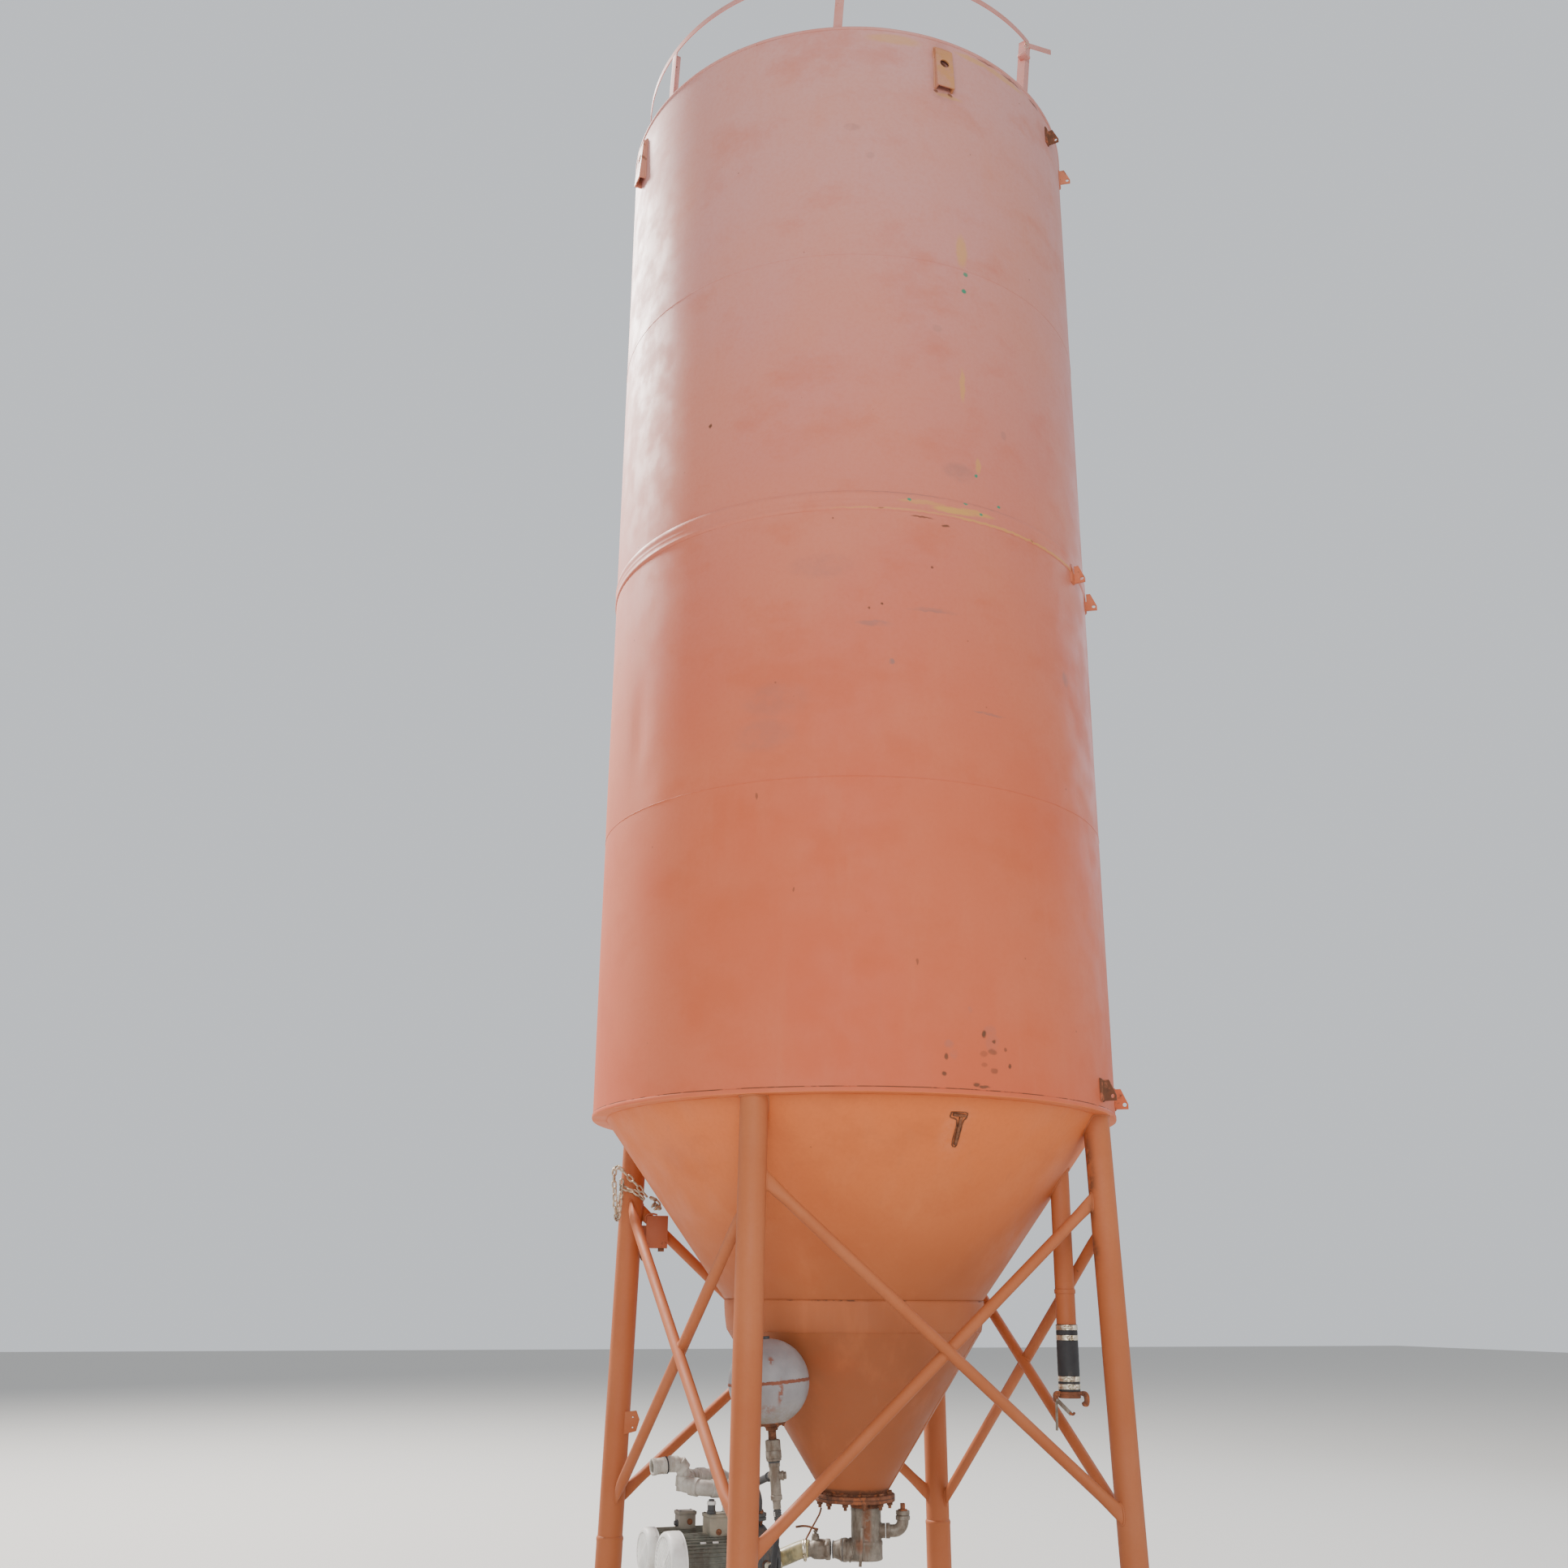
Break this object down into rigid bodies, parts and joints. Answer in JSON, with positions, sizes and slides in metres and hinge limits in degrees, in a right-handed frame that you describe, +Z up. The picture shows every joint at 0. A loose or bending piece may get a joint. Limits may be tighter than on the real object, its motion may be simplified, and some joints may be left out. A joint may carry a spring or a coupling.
{
  "type": "hopper silo",
  "caption": "Orange welded steel hopper silo on four braced legs, with roof guard rail, bolted cone outlet and a small pump set with pressure sphere.",
  "frame": {"origin": "on the silo's vertical axis, at the level of the undersides of its foot plates", "axes": "+Z up the silo's axis, -Y towards the front lifting lug, with the legs on the diagonals and the pump set at -X"},
  "size_m": [2.4752, 2.4752, 8.052],
  "materials": {
    "orange_paint": "weathered satin",
    "rusted_steel": "rusted",
    "grey_steel": "dull galvanised",
    "cast_grey": "dull paint",
    "white_paint": "dirty satin",
    "black_rubber": "matt",
    "aged_plastic": "matt",
    "concrete": "rough cast"
  },
  "bodies": {
    "root": {"base_ring": "orange_paint", "brace_back_falling": "orange_paint", "brace_back_rising": "orange_paint", "brace_front_falling": "orange_paint", "brace_front_rising": "orange_paint", "brace_left_falling": "orange_paint", "brace_left_rising": "orange_paint", "brace_right_falling": "orange_paint", "brace_right_rising": "orange_paint", "cone_band": "orange_paint", "cone_flange": "rusted_steel", "discharge_pipe": "white_paint", "fill_coupling": "rusted_steel", "fill_pipe": "orange_paint", "fill_sleeve": "black_rubber", "guard_rail": "orange_paint", "ladder_bracket_left_bottom": "orange_paint", "ladder_bracket_left_middle": "orange_paint", "ladder_bracket_left_top": "orange_paint", "ladder_bracket_right_bottom": "orange_paint", "ladder_bracket_right_middle": "orange_paint", "ladder_bracket_right_top": "orange_paint", "leg_back_left": "orange_paint", "leg_back_right": "orange_paint", "leg_foot_back_left": "orange_paint", "leg_foot_back_right": "orange_paint", "leg_foot_front_left": "orange_paint", "leg_foot_front_right": "orange_paint", "leg_front_left": "orange_paint", "leg_front_right": "orange_paint", "lifting_lug_back": "orange_paint", "lifting_lug_front": "orange_paint", "lifting_lug_left": "orange_paint", "lifting_lug_right": "orange_paint", "lower_cone": "orange_paint", "middle_band": "orange_paint", "outlet_elbow": "grey_steel", "outlet_flange": "rusted_steel", "outlet_pipe": "grey_steel", "outlet_valve": "grey_steel", "pressure_hose": "black_rubber", "pressure_sphere": "white_paint", "pressure_stem": "grey_steel", "pump_front_casing": "cast_grey", "pump_front_cowl": "white_paint", "pump_front_motor": "cast_grey", "pump_plinth": "concrete", "pump_rear": "cast_grey", "roof_cone": "orange_paint", "roof_hatch_lid": "orange_paint", "shell_course_1": "orange_paint", "shell_course_2": "orange_paint", "shell_course_3": "orange_paint", "shell_course_4": "orange_paint", "suction_sleeve": "aged_plastic", "top_rim": "orange_paint", "upper_cone": "orange_paint"}
  },
  "joints": []
}
